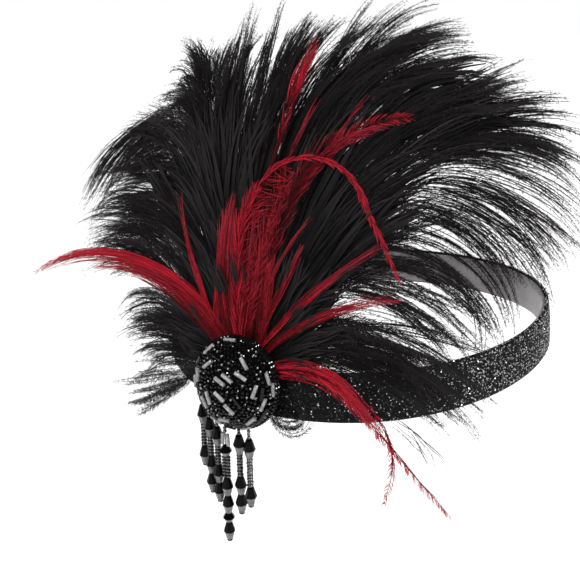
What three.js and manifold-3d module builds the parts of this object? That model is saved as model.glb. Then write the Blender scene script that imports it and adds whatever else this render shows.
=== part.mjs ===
// Headband with a glittered band, a satin lining, a beaded brooch with a bead tassel, and a plume
// of black and red feathers that fans out from behind the brooch.
// Millimetres, +Z up, -Y to the wearer's front, +X to the wearer's left. The origin is the middle
// of the head opening, level with the band's lower edge.
import * as THREE from 'three';
import { mergeVertices } from 'three/addons/utils/BufferGeometryUtils.js';
import Module from 'manifold-3d';

const wasm = await Module();
wasm.setup();

// Head loop and band
const HALF_LENGTH = 93.5; // front to back, outside the band's lower edge
const HALF_WIDTH = 82; // side to side
const FRONT_FULLNESS = 0.12; // how much the front half is wider than the back half
const BAND_HEIGHT = 20;
const BAND_LEAN = 6.9; // degrees that the band leans inwards
const BAND_WALL = 1.5;
const BAND_SWELL = 0.3; // how far the outside stands proud halfway up
const BAND_EDGE = 0.5; // rounding of the folded edges
const LINING_WALL = 1;
const LINING_MARGIN = 1.2; // from the lining's edges to the band's
const CLEARANCE = 0.3; // between pieces that touch on the real headband
const AROUND = 48; // steps round the loop

// Where the brooch sits
const BROOCH_ANGLE = 33.5; // degrees from the front towards the wearer's left
const BROOCH_HEIGHT = 13.5; // its middle above the band's lower edge

// Stack from the band outwards
const PAD_RADIUS = 17;
const PAD_THICKNESS = 2;
const DISC_RADIUS = 13;
const DISC_THICKNESS = 1.5;
const RIM_RADIUS = 19.5;
const RIM_THICKNESS = 3;
const DOME_RADIUS = 17.8;
const DOME_HEIGHT = 10;

// Brooch beads
const BUGLE_LENGTH = 5.6;
const BUGLE_RADIUS = 1.15;
const BUGLE_SINK = 0.7; // how deep a bugle's lowest line lies in the dome
const BEAD_SIDES = 10;

// Plume: its reach, the wrap round the head on the wearer's back side, and its locks and strips
const PLUME_LENGTH = 150;
const PLUME_DEPTH = 10; // how far the back layer leans behind the front layer
const WRAP_RADIUS = 280;
const ROOT_RADIUS = 8; // where locks and strips start, from the brooch's middle
const SEAT_RADIUS = 22; // they lie flat behind the brooch as far as this
const LOCK_WIDTH = 21;
const LOCK_ROOT_THICKNESS = 1.4;
const LOCK_THICKNESS = 5;
const STRIP_WIDTH = 8;
const STRIP_ROOT_THICKNESS = 0.9;
const STRIP_THICKNESS = 1.8;
const STRIP_RISE = 12; // how far the longest strip's tip stands in front of its root
const STEPS = 9; // along each lock and strip

// Tassel beads
const DROP_LENGTH = 8.4;
const DROP_RADIUS = 2.05;
const SHORT_DROP_LENGTH = 4.4;
const SEED_PITCH = 1.45;
const SEED_RADIUS = 0.85;
const LONG_BUGLE_LENGTH = 5.8;
const LONG_BUGLE_RADIUS = 1.9; // two bugles side by side
const THREAD_LENGTH = 2; // above a usual strand's first bead
const THREAD_RADIUS = 0.4;
const END_LENGTH = 1.2;

// Black locks. start: first heading in degrees from straight up, plus towards the wearer's back;
// curl: how far the heading turns; bend: 1 turns evenly, more turns late; length, width and lean
// as shares of PLUME_LENGTH, LOCK_WIDTH and PLUME_DEPTH.
const LOCKS = [
  { start: -112, curl: -13, bend: 1.2, length: 0.4, width: 0.2, lean: 0 },
  { start: -113, curl: 19, bend: 1.4, length: 0.38, width: 0.3, lean: 0.2 },
  { start: -93, curl: -5, bend: 1.2, length: 0.37, width: 0.5, lean: 0.5 },
  { start: -74, curl: -13, bend: 1.3, length: 0.36, width: 0.6, lean: 0.2 },
  { start: -62, curl: -15, bend: 1.7, length: 0.36, width: 0.6, lean: 0.5 },
  { start: -54, curl: -61, bend: 2.4, length: 0.54, width: 0.55, lean: 0.7 },
  { start: -35, curl: -112, bend: 2, length: 0.73, width: 0.65, lean: 0.1 },
  { start: -21, curl: -130, bend: 1.8, length: 0.87, width: 0.6, lean: 0.9 },
  { start: -16, curl: -136, bend: 2.8, length: 0.84, width: 0.6, lean: 0.2 },
  { start: -16, curl: -125, bend: 3.5, length: 0.84, width: 0.5, lean: 0.6 },
  { start: -14, curl: -79, bend: 4, length: 0.77, width: 0.6, lean: 0.9 },
  { start: -12, curl: -29, bend: 3.2, length: 0.78, width: 0.6, lean: 0.4 },
  { start: -15, curl: 8, bend: 1, length: 0.81, width: 0.7, lean: 0.2 },
  { start: -15, curl: 31, bend: 1.6, length: 0.86, width: 0.85, lean: 1 },
  { start: -8, curl: 46, bend: 2.2, length: 0.87, width: 0.85, lean: 0.2 },
  { start: -4, curl: 47, bend: 1.9, length: 0.91, width: 0.85, lean: 1 },
  { start: 6, curl: 80, bend: 2.9, length: 1.01, width: 0.95, lean: 0.3 },
  { start: 13, curl: 100, bend: 3.3, length: 1.04, width: 1, lean: 1 },
  { start: 20, curl: 84, bend: 2.7, length: 1.04, width: 1, lean: 0.2 },
  { start: 26, curl: 95, bend: 3.1, length: 1.02, width: 1, lean: 0.9 },
  { start: 32, curl: 125, bend: 3.5, length: 1.01, width: 0.95, lean: 0.2 },
  { start: 34, curl: 133, bend: 3, length: 0.94, width: 0.9, lean: 0.8 },
  { start: 36, curl: 134, bend: 2.6, length: 0.87, width: 0.85, lean: 0.2 },
  { start: 37, curl: 142, bend: 2, length: 0.81, width: 0.8, lean: 0.6 },
  { start: 48, curl: 122, bend: 1.8, length: 0.71, width: 0.75, lean: 0.1 },
  { start: 58, curl: 103, bend: 1.7, length: 0.6, width: 0.65, lean: 0.4 },
  { start: 73, curl: 64, bend: 2, length: 0.35, width: 0.6, lean: 0 },
];

// Red strips, with the same columns, but width as a share of STRIP_WIDTH, and rise outwards as a
// share of STRIP_RISE in place of the lean. settle: share of the length after which the heading
// stays as it is.
const STRIPS = [
  { start: -21, curl: -101, bend: 0.7, settle: 1, length: 0.83, width: 0.75, rise: 0.5 },
  { start: -45, curl: -16, bend: 1, settle: 1, length: 0.38, width: 0.6, rise: 0.35 },
  { start: -36, curl: 33, bend: 1.4, settle: 1, length: 0.47, width: 0.5, rise: 0.35 },
  { start: -24, curl: 41, bend: 0.8, settle: 1, length: 0.52, width: 0.8, rise: 0.4 },
  { start: -7, curl: 159, bend: 2.5, settle: 0.77, length: 1.02, width: 0.75, rise: 0.95 },
  { start: 0, curl: 23, bend: 0.8, settle: 1, length: 0.53, width: 1.2, rise: 0.5 },
  { start: 2, curl: 25, bend: 1.4, settle: 1, length: 0.81, width: 0.8, rise: 0.5 },
  { start: 11, curl: 66, bend: 2.8, settle: 1, length: 0.78, width: 1, rise: 0.5 },
  { start: 21, curl: 5, bend: 1.2, settle: 1, length: 0.36, width: 0.6, rise: 0.35 },
  { start: 25, curl: 27, bend: 0.5, settle: 1, length: 0.49, width: 0.6, rise: 0.5 },
  { start: 36, curl: 40, bend: 0.9, settle: 1, length: 0.46, width: 0.55, rise: 0.4 },
  { start: 65, curl: 68, bend: 2.5, settle: 0.42, length: 0.64, width: 0.8, rise: 0.6 },
  { start: 58, curl: 120, bend: 1, settle: 1, length: 0.55, width: 0.5, rise: 0.5 },
];

// Outline of a lock or strip: width at each share of its length.
const BLADE = [
  { along: 0, width: 0.3 },
  { along: 0.12, width: 0.35 },
  { along: 0.35, width: 0.75 },
  { along: 0.6, width: 1 },
  { along: 0.8, width: 0.85 },
  { along: 0.93, width: 0.45 },
  { along: 1, width: 0.08 },
];

// Bugle beads on the dome. clock: degrees round the dome from the top, plus towards the wearer's
// back; arc: degrees from the dome's middle down its side; turn: the bead's own direction, in
// degrees from straight up.
const BUGLES = [
  { clock: -7, arc: 80, turn: 74 },
  { clock: -42, arc: 39, turn: 49 },
  { clock: -80, arc: 48, turn: 154 },
  { clock: 35, arc: 53, turn: 141 },
  { clock: 49, arc: 38, turn: 111 },
  { clock: 2, arc: 12, turn: 112 },
  { clock: 30, arc: 21, turn: 115 },
  { clock: 68, arc: 78, turn: 156 },
  { clock: 84, arc: 86, turn: 168 },
  { clock: 82, arc: 51, turn: 20 },
  { clock: 86, arc: 63, turn: 10 },
  { clock: 175, arc: 8, turn: 122 },
  { clock: -129, arc: 24, turn: 162 },
  { clock: -131, arc: 40, turn: 154 },
  { clock: 102, arc: 67, turn: 27 },
  { clock: 115, arc: 76, turn: 41 },
  { clock: 148, arc: 27, turn: 135 },
  { clock: 177, arc: 46, turn: 81 },
  { clock: 134, arc: 63, turn: 46 },
  { clock: -161, arc: 66, turn: 108 },
  { clock: 52, arc: 74, turn: 133 },
  { clock: -16, arc: 44, turn: 107 },
  { clock: 110, arc: 28, turn: 138 },
  { clock: 23, arc: 70, turn: 117 },
  { clock: -38, arc: 66, turn: 20 },
  { clock: -66, arc: 72, turn: 60 },
  { clock: -96, arc: 64, turn: 10 },
  { clock: -118, arc: 76, turn: 120 },
  { clock: -140, arc: 62, turn: 40 },
  { clock: -160, arc: 84, turn: 95 },
  { clock: 155, arc: 80, turn: 65 },
  { clock: 178, arc: 72, turn: 80 },
];

// Tassel strands, from the front to the back. across: place along the band from the brooch's
// middle, as a share of RIM_RADIUS; out: place outwards from the rim's back, as a share of
// RIM_THICKNESS; thread: bare thread above the first bead, as a share of THREAD_LENGTH;
// first: what leads; seeds: seed beads under it; drops and shorts: drop beads at the end.
const STRANDS = [
  { across: -0.87, out: 0.7, thread: 1.5, first: 'drop', seeds: 7, drops: 1, shorts: 0 },
  { across: -0.64, out: 1.03, thread: 1, first: 'drop', seeds: 6, drops: 2, shorts: 0 },
  { across: -0.42, out: 1.2, thread: 1, first: 'drop', seeds: 6, drops: 2, shorts: 0 },
  { across: -0.18, out: 1.43, thread: 0.75, first: 'bugles', seeds: 7, drops: 3, shorts: 1 },
  { across: 0.14, out: 1.17, thread: 0.4, first: 'drop', seeds: 7, drops: 2, shorts: 0 },
  { across: 0.38, out: 1.17, thread: 1.3, first: 'drop', seeds: 9, drops: 1, shorts: 0 },
];

const radians = THREE.MathUtils.degToRad;

// Colours and finishes
const MATERIALS = {
  glitter: new THREE.MeshStandardMaterial({ color: 0x1a1a1c, roughness: 0.5, metalness: 0.3 }),
  satin: new THREE.MeshStandardMaterial({ color: 0x55505a, roughness: 0.6, metalness: 0 }),
  black: new THREE.MeshStandardMaterial({ color: 0x141213, roughness: 0.8, metalness: 0 }),
  red: new THREE.MeshStandardMaterial({ color: 0xa81428, roughness: 0.8, metalness: 0 }),
  bead: new THREE.MeshStandardMaterial({ color: 0x08080a, roughness: 0.15, metalness: 0 }),
};

// A closed body through rings of points, with flat ends, or joined end to start as a loop.
function loft(rings, closedLoop = false) {
  const count = rings[0].length;
  const positions = rings.flat().flatMap((p) => [p.x, p.y, p.z]);
  const faces = [];
  const spans = closedLoop ? rings.length : rings.length - 1;
  for (let i = 0; i < spans; i++) {
    const a = i * count;
    const b = ((i + 1) % rings.length) * count;
    for (let j = 0; j < count; j++) {
      const k = (j + 1) % count;
      faces.push(a + j, a + k, b + k, a + j, b + k, b + j);
    }
  }
  if (!closedLoop) {
    const last = (rings.length - 1) * count;
    for (let j = 1; j < count - 1; j++) {
      faces.push(0, j + 1, j, last, last + j, last + j + 1);
    }
  }
  const geometry = new THREE.BufferGeometry();
  geometry.setAttribute('position', new THREE.Float32BufferAttribute(positions, 3));
  geometry.setIndex(faces);
  return geometry;
}

// A three.js geometry as a solid for joining, with shared vertices merged and no empty faces.
function solidOf(geometry) {
  const bare = geometry.clone();
  bare.deleteAttribute('normal');
  bare.deleteAttribute('uv');
  const merged = mergeVertices(bare, 1e-4);
  const index = merged.getIndex().array;
  const faces = [];
  for (let i = 0; i < index.length; i += 3) {
    const [a, b, c] = [index[i], index[i + 1], index[i + 2]];
    if (a !== b && b !== c && c !== a) {
      faces.push(a, b, c);
    }
  }
  const mesh = new wasm.Mesh({
    numProp: 3,
    vertProperties: new Float32Array(merged.getAttribute('position').array),
    triVerts: new Uint32Array(faces),
  });
  return new wasm.Manifold(mesh);
}

// Several geometries joined into one body.
function joined(geometries) {
  let whole = solidOf(geometries[0]);
  for (const geometry of geometries.slice(1)) {
    whole = whole.add(solidOf(geometry));
  }
  const mesh = whole.getMesh();
  const geometry = new THREE.BufferGeometry();
  geometry.setAttribute('position', new THREE.Float32BufferAttribute(mesh.vertProperties, 3));
  geometry.setIndex(Array.from(mesh.triVerts));
  return geometry;
}

// A point of the head loop at an angle from the front, moved inwards and up the leaning band.
function loopPoint(angle, inward, height) {
  const x = HALF_WIDTH * Math.sin(angle) * (1 + FRONT_FULLNESS * Math.cos(angle));
  const y = -HALF_LENGTH * Math.cos(angle);
  const normal = loopNormal(angle);
  const shift = inward + height * Math.tan(radians(BAND_LEAN));
  return new THREE.Vector3(x - normal.x * shift, y - normal.y * shift, height);
}

// The level direction that points out of the loop at an angle from the front.
function loopNormal(angle) {
  const dx = HALF_WIDTH * (Math.cos(angle) + FRONT_FULLNESS * Math.cos(2 * angle));
  const dy = HALF_LENGTH * Math.sin(angle);
  return new THREE.Vector3(dy, -dx, 0).normalize();
}

// A closed ribbon round the head from a section of [inward, height] points, up its inside first.
function ribbon(section) {
  const rings = [];
  for (let i = 0; i < AROUND; i++) {
    const angle = (2 * Math.PI * i) / AROUND;
    rings.push(section.map(([inward, height]) => loopPoint(angle, inward, height)));
  }
  return loft(rings, true);
}

function bandGeometry() {
  return ribbon([
    [BAND_WALL, 0],
    [BAND_WALL, BAND_HEIGHT],
    [BAND_EDGE, BAND_HEIGHT],
    [0, BAND_HEIGHT - BAND_EDGE],
    [-BAND_SWELL, BAND_HEIGHT / 2],
    [0, BAND_EDGE],
    [BAND_EDGE, 0],
  ]);
}

function liningGeometry() {
  const outside = BAND_WALL + CLEARANCE;
  const inside = outside + LINING_WALL;
  const low = LINING_MARGIN;
  const high = BAND_HEIGHT - LINING_MARGIN;
  return ribbon([[inside, low], [inside, high], [outside, high], [outside, low]]);
}

// The brooch's own axes: across along the band, up the leaning band, and outwards.
const broochAngle = radians(BROOCH_ANGLE);
const level = loopNormal(broochAngle);
const ACROSS = new THREE.Vector3(-level.y, level.x, 0);
const UP = new THREE.Vector3(0, 0, 1).multiplyScalar(Math.cos(radians(BAND_LEAN)))
  .addScaledVector(level, -Math.sin(radians(BAND_LEAN)));
const OUT = level.clone().multiplyScalar(Math.cos(radians(BAND_LEAN)))
  .addScaledVector(new THREE.Vector3(0, 0, 1), Math.sin(radians(BAND_LEAN)));
const BROOCH_SEAT = loopPoint(broochAngle, 0, BROOCH_HEIGHT);

// Distances outwards from the band of each layer in the stack
const PAD_BACK = BAND_SWELL + CLEARANCE;
const DISC_BACK = PAD_BACK + PAD_THICKNESS + CLEARANCE;
const RIM_BACK = DISC_BACK + DISC_THICKNESS + CLEARANCE;

// A point given across, up and outwards from the brooch's seat.
function seatPoint(across, up, out) {
  return BROOCH_SEAT.clone().addScaledVector(ACROSS, across).addScaledVector(UP, up)
    .addScaledVector(OUT, out);
}

// Turns a geometry made round +Y, standing on the XZ plane, to stand outwards on the seat.
function onSeat(geometry, out) {
  const turn = new THREE.Matrix4().makeBasis(ACROSS, OUT, UP.clone().negate());
  turn.setPosition(seatPoint(0, 0, out));
  return geometry.applyMatrix4(turn);
}

function disc(radius, thickness, out) {
  const geometry = new THREE.CylinderGeometry(radius, radius, thickness, 24);
  geometry.translate(0, thickness / 2, 0);
  return onSeat(geometry, out);
}

// The value of one column of a table of sections at a share of the length.
function along(table, share, column) {
  let i = 1;
  while (i < table.length - 1 && table[i].along < share) {
    i += 1;
  }
  const a = table[i - 1];
  const b = table[i];
  return THREE.MathUtils.mapLinear(share, a.along, b.along, a[column], b[column]);
}

// A point of the fan, which wraps back round the head on the wearer's back side.
function fanPoint(across, up, out) {
  const wrap = across > 0 ? (across * across) / (2 * WRAP_RADIUS) : 0;
  return seatPoint(across, up, out - wrap);
}

// The heading of a lock or strip at a share of its length.
function headingAt(row, share) {
  const turned = Math.min(1, share / (row.settle ?? 1));
  return radians(row.start + row.curl * turned ** row.bend);
}

// One curved blade of the fan: a lock or strip.
function blade(row, size, section) {
  const length = row.length * PLUME_LENGTH;
  const step = length / STEPS;
  let across = ROOT_RADIUS * Math.sin(radians(row.start));
  let up = ROOT_RADIUS * Math.cos(radians(row.start));
  const rings = [];
  for (let i = 0; i <= STEPS; i++) {
    const share = i / STEPS;
    const heading = headingAt(row, share);
    if (i > 0) {
      const halfway = headingAt(row, (i - 0.5) / STEPS);
      across += step * Math.sin(halfway);
      up += step * Math.cos(halfway);
    }
    const free = Math.max(0, (ROOT_RADIUS + share * length - SEAT_RADIUS) / length);
    const out = size.out + size.tip * free ** 1.5;
    const spread = along(BLADE, share, 'width');
    const halfWidth = (size.width * spread) / 2;
    const fullness = Math.min(1, 3 * free) * spread;
    const halfThickness = Math.min(
      THREE.MathUtils.lerp(size.rootThickness, size.thickness, fullness),
      2 * halfWidth,
    ) / 2;
    const middle = fanPoint(across, up, out);
    const beside = fanPoint(across + Math.cos(heading), up - Math.sin(heading), out);
    const ahead = fanPoint(across + Math.sin(heading), up + Math.cos(heading), out);
    const wide = beside.sub(middle).normalize();
    const thick = ahead.sub(middle).cross(wide).normalize();
    rings.push(section.map(([w, t]) => middle.clone().addScaledVector(wide, w * halfWidth)
      .addScaledVector(thick, t * halfThickness)));
  }
  return loft(rings);
}

const LENS = [[-1, 0], [-0.5, -1], [0.5, -1], [1, 0], [0.5, 1], [-0.5, 1]];
const DIAMOND = [[-1, 0], [0, -1], [1, 0], [0, 1]];

function blackPlumeGeometry() {
  const locks = LOCKS.map((row) => blade(row, {
    out: PAD_BACK + PAD_THICKNESS / 2,
    tip: -row.lean * PLUME_DEPTH,
    width: row.width * LOCK_WIDTH,
    rootThickness: LOCK_ROOT_THICKNESS,
    thickness: LOCK_THICKNESS * row.width,
  }, LENS));
  return joined([disc(PAD_RADIUS, PAD_THICKNESS, PAD_BACK), ...locks]);
}

function redPlumeGeometry() {
  const strips = STRIPS.map((row) => blade(row, {
    out: DISC_BACK + DISC_THICKNESS / 2,
    tip: row.rise * STRIP_RISE,
    width: row.width * STRIP_WIDTH,
    rootThickness: STRIP_ROOT_THICKNESS,
    thickness: STRIP_THICKNESS * row.width,
  }, DIAMOND));
  return joined([disc(DISC_RADIUS, DISC_THICKNESS, DISC_BACK), ...strips]);
}

// The smooth rim and the dome, turned round the brooch's middle.
function domeGeometry() {
  const steps = 5;
  const profile = [new THREE.Vector2(0, 0), new THREE.Vector2(RIM_RADIUS, 0)];
  profile.push(new THREE.Vector2(RIM_RADIUS, RIM_THICKNESS));
  for (let i = 0; i <= steps; i++) {
    const arc = (Math.PI / 2) * (i / steps);
    profile.push(new THREE.Vector2(
      DOME_RADIUS * Math.cos(arc),
      RIM_THICKNESS + DOME_HEIGHT * Math.sin(arc),
    ));
  }
  profile[profile.length - 1].x = 0;
  return onSeat(new THREE.LatheGeometry(profile, 30), RIM_BACK);
}

// A bugle bead lying on the dome.
function bugleGeometry(row) {
  const arc = radians(row.arc);
  const clock = radians(row.clock);
  const turn = radians(row.turn);
  const reach = DOME_RADIUS * Math.sin(arc);
  const foot = seatPoint(
    reach * Math.sin(clock),
    reach * Math.cos(clock),
    RIM_BACK + RIM_THICKNESS + DOME_HEIGHT * Math.cos(arc),
  );
  const slope = new THREE.Vector2(Math.sin(arc) / DOME_RADIUS, Math.cos(arc) / DOME_HEIGHT);
  slope.normalize();
  const proud = ACROSS.clone().multiplyScalar(slope.x * Math.sin(clock))
    .addScaledVector(UP, slope.x * Math.cos(clock)).addScaledVector(OUT, slope.y);
  const run = ACROSS.clone().multiplyScalar(Math.sin(turn)).addScaledVector(UP, Math.cos(turn));
  run.addScaledVector(proud, -run.dot(proud)).normalize();
  const place = new THREE.Matrix4().makeBasis(run.clone().cross(proud), run, proud);
  place.setPosition(foot.addScaledVector(proud, BUGLE_RADIUS - BUGLE_SINK));
  const bead = new THREE.CylinderGeometry(BUGLE_RADIUS, BUGLE_RADIUS, BUGLE_LENGTH, BEAD_SIDES);
  return bead.applyMatrix4(place);
}

function broochGeometry() {
  return joined([domeGeometry(), ...BUGLES.map(bugleGeometry)]);
}

// Lengths and radii down one drop bead: a long upper taper, a shoulder and a short lower taper.
const DROP = [
  { along: 0, radius: 0.42 },
  { along: 0.4, radius: 1 },
  { along: 0.62, radius: 0.85 },
  { along: 1, radius: 0.5 },
];

// The profile of a strand, as [radius, distance below its top] pairs.
function strandProfile(row) {
  let depth = row.thread * THREAD_LENGTH;
  const profile = [[0, 0], [THREAD_RADIUS, 0], [THREAD_RADIUS, depth]];
  const addDrop = (length) => {
    for (const { along: share, radius } of DROP) {
      profile.push([radius * DROP_RADIUS, depth + share * length]);
    }
    depth += length;
  };
  if (row.first === 'bugles') {
    profile.push([LONG_BUGLE_RADIUS / 2, depth], [LONG_BUGLE_RADIUS, depth + LONG_BUGLE_LENGTH]);
    depth += LONG_BUGLE_LENGTH;
    addDrop(SHORT_DROP_LENGTH);
  } else {
    addDrop(DROP_LENGTH);
  }
  profile.push([SEED_RADIUS, depth]);
  depth += row.seeds * SEED_PITCH;
  profile.push([SEED_RADIUS, depth]);
  for (let i = 0; i < row.drops; i++) {
    addDrop(DROP_LENGTH);
  }
  for (let i = 0; i < row.shorts; i++) {
    addDrop(SHORT_DROP_LENGTH);
  }
  profile.push([SEED_RADIUS, depth], [SEED_RADIUS, depth + END_LENGTH / 2], [0, depth + END_LENGTH]);
  return profile;
}

// A bead strand that hangs straight down from just under the brooch's rim.
function strandGeometry(row) {
  const hang = RIM_RADIUS + CLEARANCE + THREAD_RADIUS;
  const across = row.across * RIM_RADIUS;
  const top = seatPoint(across, -Math.sqrt(hang ** 2 - across ** 2), RIM_BACK + row.out * RIM_THICKNESS);
  const points = strandProfile(row).map(([radius, depth]) => new THREE.Vector2(radius, -depth));
  const geometry = new THREE.LatheGeometry(points.reverse(), BEAD_SIDES);
  geometry.rotateX(Math.PI / 2);
  return joined([geometry.translate(top.x, top.y, top.z)]);
}

const headband = new THREE.Group();
function add(name, geometry, material) {
  const mesh = new THREE.Mesh(geometry, material);
  mesh.name = name;
  headband.add(mesh);
}

add('band', bandGeometry(), MATERIALS.glitter);
add('band_lining', liningGeometry(), MATERIALS.satin);
add('black_plume', blackPlumeGeometry(), MATERIALS.black);
add('red_plume', redPlumeGeometry(), MATERIALS.red);
add('brooch', broochGeometry(), MATERIALS.bead);
STRANDS.forEach((row, i) => add(`tassel_strand_${i + 1}`, strandGeometry(row), MATERIALS.bead));

export default headband;
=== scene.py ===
"""Headband with a glittered band, beaded brooch and tassel, and a plume of black and red feathers."""
import math
import bpy
import numpy as np
from mathutils import Matrix, Vector


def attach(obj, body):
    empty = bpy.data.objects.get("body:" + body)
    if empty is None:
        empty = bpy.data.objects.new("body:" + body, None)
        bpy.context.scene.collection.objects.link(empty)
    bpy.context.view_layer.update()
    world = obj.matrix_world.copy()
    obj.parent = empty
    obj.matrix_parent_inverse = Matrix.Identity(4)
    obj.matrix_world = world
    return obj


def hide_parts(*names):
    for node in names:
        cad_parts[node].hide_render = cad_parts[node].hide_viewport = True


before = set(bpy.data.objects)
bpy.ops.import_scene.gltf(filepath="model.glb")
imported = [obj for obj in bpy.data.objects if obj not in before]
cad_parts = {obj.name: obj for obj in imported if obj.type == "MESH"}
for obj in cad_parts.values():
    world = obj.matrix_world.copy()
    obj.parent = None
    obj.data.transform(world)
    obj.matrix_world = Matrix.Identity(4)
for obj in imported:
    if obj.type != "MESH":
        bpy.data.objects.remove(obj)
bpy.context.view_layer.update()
scene = bpy.context.scene
rng = np.random.default_rng(12)

# Sizes in millimetres, as in the part. Meshes are scaled to metres when they are made.
HALF_LENGTH = 93.5  # front to back, outside the band's lower edge
HALF_WIDTH = 82.0  # side to side
FRONT_FULLNESS = 0.12  # how much the front half is wider than the back half
BAND_HEIGHT = 20.0
BAND_LEAN = math.radians(6.9)  # how far the band leans inwards
BAND_WALL = 1.5
BAND_SWELL = 0.3  # how far the outside stands proud halfway up
BAND_EDGE = 0.5  # rounding of the folded edges
LINING_WALL = 1.0
LINING_MARGIN = 1.2  # from the lining's edges to the band's
LINING_EDGE = 0.3
LINING_SLACK = 0.15  # how far its middle lies back from the head
CLEARANCE = 0.3  # between pieces that touch on the real headband

BROOCH_ANGLE = math.radians(33.5)  # from the front towards the wearer's left
BROOCH_HEIGHT = 13.5  # its middle above the band's lower edge
PAD_RADIUS = 17.0
PAD_THICKNESS = 2.0
DISC_RADIUS = 13.0
DISC_THICKNESS = 1.5
RIM_RADIUS = 19.5
RIM_THICKNESS = 3.0
DOME_RADIUS = 17.8
DOME_HEIGHT = 10.0
BEADED = 0.955  # the beadwork's radius as a share of the part's

PLUME_LENGTH = 150.0
ROOT_RADIUS = 8.0  # where the barbs start, from the brooch's middle
SEAT_RADIUS = 22.0  # they lie flat behind the brooch as far as this
WRAP_RADIUS = 280.0  # the fan's curve round the head
STRIP_RISE = 12.0  # how far a red tip can stand in front of its root

BUGLE_HALF = 2.6  # half the length of a bugle bead
BUGLE_RADIUS = 0.75
SEED_RADIUS = 0.85
SEED_LENGTH = 1.35
DROP_LENGTH = 8.4
DROP_RADIUS = 2.55
SHORT_DROP = 4.4
SEED_PITCH = 1.45  # along a strand

# How far the back of each layer stands out from the band, and where the barbs start
PAD_BACK = BAND_SWELL + CLEARANCE
DISC_BACK = PAD_BACK + PAD_THICKNESS + CLEARANCE
RIM_BACK = DISC_BACK + DISC_THICKNESS + CLEARANCE
DOME_BACK = RIM_BACK + RIM_THICKNESS
BLACK_OUT = PAD_BACK + PAD_THICKNESS / 2
RED_OUT = DISC_BACK + DISC_THICKNESS / 2


def in_scene(name, data):
    o = bpy.data.objects.new(name, data)
    scene.collection.objects.link(o)
    return o


# The camera stands at the photograph's angle.
camera_data = bpy.data.cameras.new("camera")
camera_data.lens = 48.08
camera_data.sensor_width = 36
camera_data.clip_start = 0.01
camera_data.clip_end = 10
camera = in_scene("camera", camera_data)
CAMERA_PLACE = (0.31085, -0.16123, 0.15014)
CAMERA_RIGHT = (0.37041, 0.92878, -0.01262)
CAMERA_UP = (-0.31389, 0.13795, 0.93938)
CAMERA_BACK = (0.87422, -0.34399, 0.34264)
camera_turn = Matrix((CAMERA_RIGHT, CAMERA_UP, CAMERA_BACK)).transposed().to_4x4()
camera.matrix_world = Matrix.Translation(CAMERA_PLACE) @ camera_turn
scene.camera = camera


def material(name, sockets):
    """A new material, its node tree and its shader. sockets gives values on the shader itself."""
    m = bpy.data.materials.new(name)
    m.use_nodes = True
    shader = m.node_tree.nodes["Principled BSDF"]
    for key, value in sockets.items():
        shader.inputs[key].default_value = value
    return m, m.node_tree, shader


def add(tree, kind, inputs=None, **settings):
    """A new shader node. inputs gives each input a value, or an output to link to it."""
    node = tree.nodes.new("ShaderNode" + kind)
    for key, value in settings.items():
        setattr(node, key, value)
    for key, value in (inputs or {}).items():
        if isinstance(value, bpy.types.NodeSocket):
            tree.links.new(value, node.inputs[key])
        else:
            node.inputs[key].default_value = value
    return node


def ramp(tree, source, stops):
    """The colour at source, from stops of place and colour."""
    node = add(tree, "ValToRGB", {0: source})
    while len(node.color_ramp.elements) < len(stops):
        node.color_ramp.elements.new(0.5)
    for element, (place, colour) in zip(node.color_ramp.elements, stops):
        element.position = place
        element.color = (*colour, 1)
    return node.outputs[0]


def textured(name, texture, stops, sockets, kind="TexNoise", object_space=True, relief=None):
    """A material coloured by a texture. relief gives a bump's own texture or None, strength and depth."""
    m, tree, shader = material(name, sockets)
    place = {"Vector": add(tree, "TexCoord").outputs["Object"]} if object_space else {}
    grain = add(tree, kind, {**place, **texture})
    tree.links.new(ramp(tree, grain.outputs[0], stops), shader.inputs["Base Color"])
    if relief:
        fine, strength, depth = relief
        height = add(tree, kind, {**place, **fine}) if fine else grain
        values = {"Height": height.outputs[0], "Strength": strength, "Distance": depth}
        tree.links.new(add(tree, "Bump", values).outputs[0], shader.inputs["Normal"])
    return m


def mapped(tree, source, low, high, to_low, to_high):
    values = {"Value": source, "From Min": low, "From Max": high, "To Min": to_low, "To Max": to_high}
    return add(tree, "MapRange", values).outputs[0]


def feather_material(name, stops, tip, tip_from, roughness, painted_root_shade):
    """The map's second coordinate is the barb's tone and its first runs from the barb's root to its tip."""
    m, tree, shader = material(name, {
        "Roughness": roughness, "Specular IOR Level": 0.07, "Sheen Weight": 0.02, "Sheen Roughness": 0.4})
    place = add(tree, "UVMap", uv_map="OFBake").outputs[0]
    split = add(tree, "SeparateXYZ", {0: place})
    along_barb, barb_tone = split.outputs["X"], split.outputs["Y"]
    # Streaks of tone that run along the barb, which on the black barbs bring out the painted sheen at the
    # ramp's light end
    stretched = add(tree, "VectorMath", {0: place, 1: (26, 110, 1)}, operation="MULTIPLY")
    streak = add(tree, "TexNoise", {"Vector": stretched.outputs[0], "Scale": 1.0, "Detail": 2.0})
    spread = mapped(tree, streak.outputs[0], 0.3, 0.7, -0.3, 0.3)
    streaked = add(tree, "Math", {0: barb_tone, 1: spread}, operation="ADD")
    # Painted shade: barbs are darker near the brooch, where they crowd together.
    root = mapped(tree, along_barb, 0.0, 0.3, painted_root_shade, 0.0)
    shaded = add(tree, "Math", {0: streaked.outputs[0], 1: root}, operation="ADD")
    tone = ramp(tree, shaded.outputs[0], stops)
    end = ramp(tree, along_barb, [(tip_from, (0, 0, 0)), (1, (1, 1, 1))])
    mix = add(tree, "Mix", {0: end, 6: tone, 7: (*tip, 1)}, data_type="RGBA")
    tree.links.new(mix.outputs[2], shader.inputs["Base Color"])
    return m


# The black barbs' ramp ends in grey: partly their own tone, partly painted sheen along the barbs.
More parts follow.
